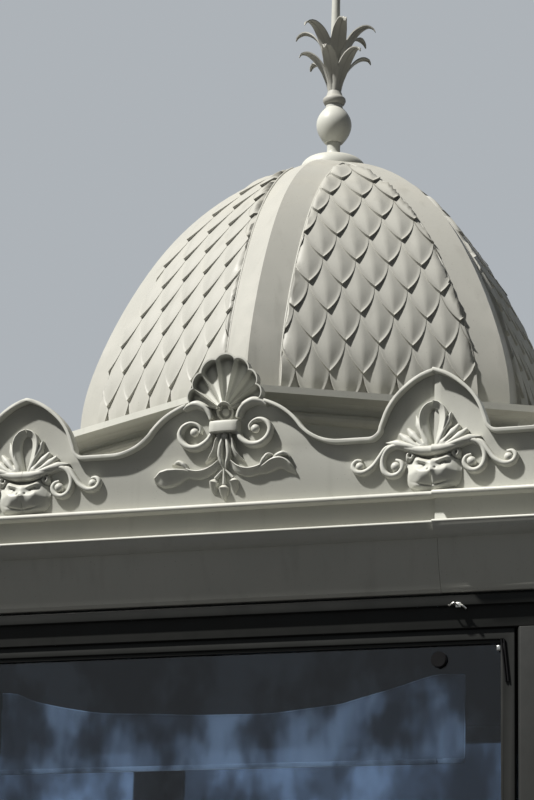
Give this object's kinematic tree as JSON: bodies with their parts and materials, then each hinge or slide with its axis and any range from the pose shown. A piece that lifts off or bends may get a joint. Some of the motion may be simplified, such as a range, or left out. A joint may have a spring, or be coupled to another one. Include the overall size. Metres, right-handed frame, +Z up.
{
  "type": "street kiosk",
  "caption": "Street kiosk with glazed sides, deep cornice, scalloped crest with shells and masks, and a scaled hexagonal dome under a leafy finial.",
  "frame": {"origin": "bottom centre of the kiosk, on the ground", "axes": "+Z up, -Y out of the long front with the counter and the flap, -X towards the door end"},
  "size_m": [3.332, 1.814, 5.05],
  "materials": {
    "grey_paint": "satin warm grey paint on cast and pressed metal",
    "charcoal_paint": "satin charcoal paint",
    "plinth_paint": "matt dark paint",
    "zinc_deck": "dull grey sheet",
    "floor_sheet": "hard-wearing sheet floor",
    "window_glass": "clear float glass",
    "dark_fittings": "black coated fittings"
  },
  "bodies": {
    "root": {"back_masks": "grey_paint", "back_posts": "charcoal_paint", "back_risers": "grey_paint", "back_shells": "grey_paint", "back_window_frames": "charcoal_paint", "back_window_glass": "window_glass", "corner_posts": "grey_paint", "cornice_back_left": "grey_paint", "cornice_back_right": "grey_paint", "cornice_front_left": "grey_paint", "cornice_front_right": "grey_paint", "cornice_left_end": "grey_paint", "cornice_right_end": "grey_paint", "counter": "grey_paint", "crest_back_left": "grey_paint", "crest_back_right": "grey_paint", "crest_front_left": "grey_paint", "crest_front_right": "grey_paint", "crest_left_end": "grey_paint", "crest_right_end": "grey_paint", "dome_cap": "grey_paint", "dome_drum": "grey_paint", "dome_shell": "grey_paint", "door_frame": "charcoal_paint", "door_glass": "window_glass", "door_handle": "dark_fittings", "door_leaf": "grey_paint", "door_side_panels": "grey_paint", "end_masks": "grey_paint", "end_shells": "grey_paint", "finial_plume": "grey_paint", "finial_spire": "grey_paint", "finial_vase": "grey_paint", "flap_fixings": "dark_fittings", "flap_frame": "charcoal_paint", "flap_glass": "window_glass", "floor_panel": "floor_sheet", "front_masks": "grey_paint", "front_posts": "charcoal_paint", "front_risers": "grey_paint", "front_shells": "grey_paint", "front_window_frames": "charcoal_paint", "front_window_glass": "window_glass", "head_beam": "charcoal_paint", "plinth": "plinth_paint", "right_risers": "grey_paint", "right_window_frames": "charcoal_paint", "right_window_glass": "window_glass", "roof_deck": "zinc_deck", "soffit_lip": "charcoal_paint"}
  },
  "joints": []
}
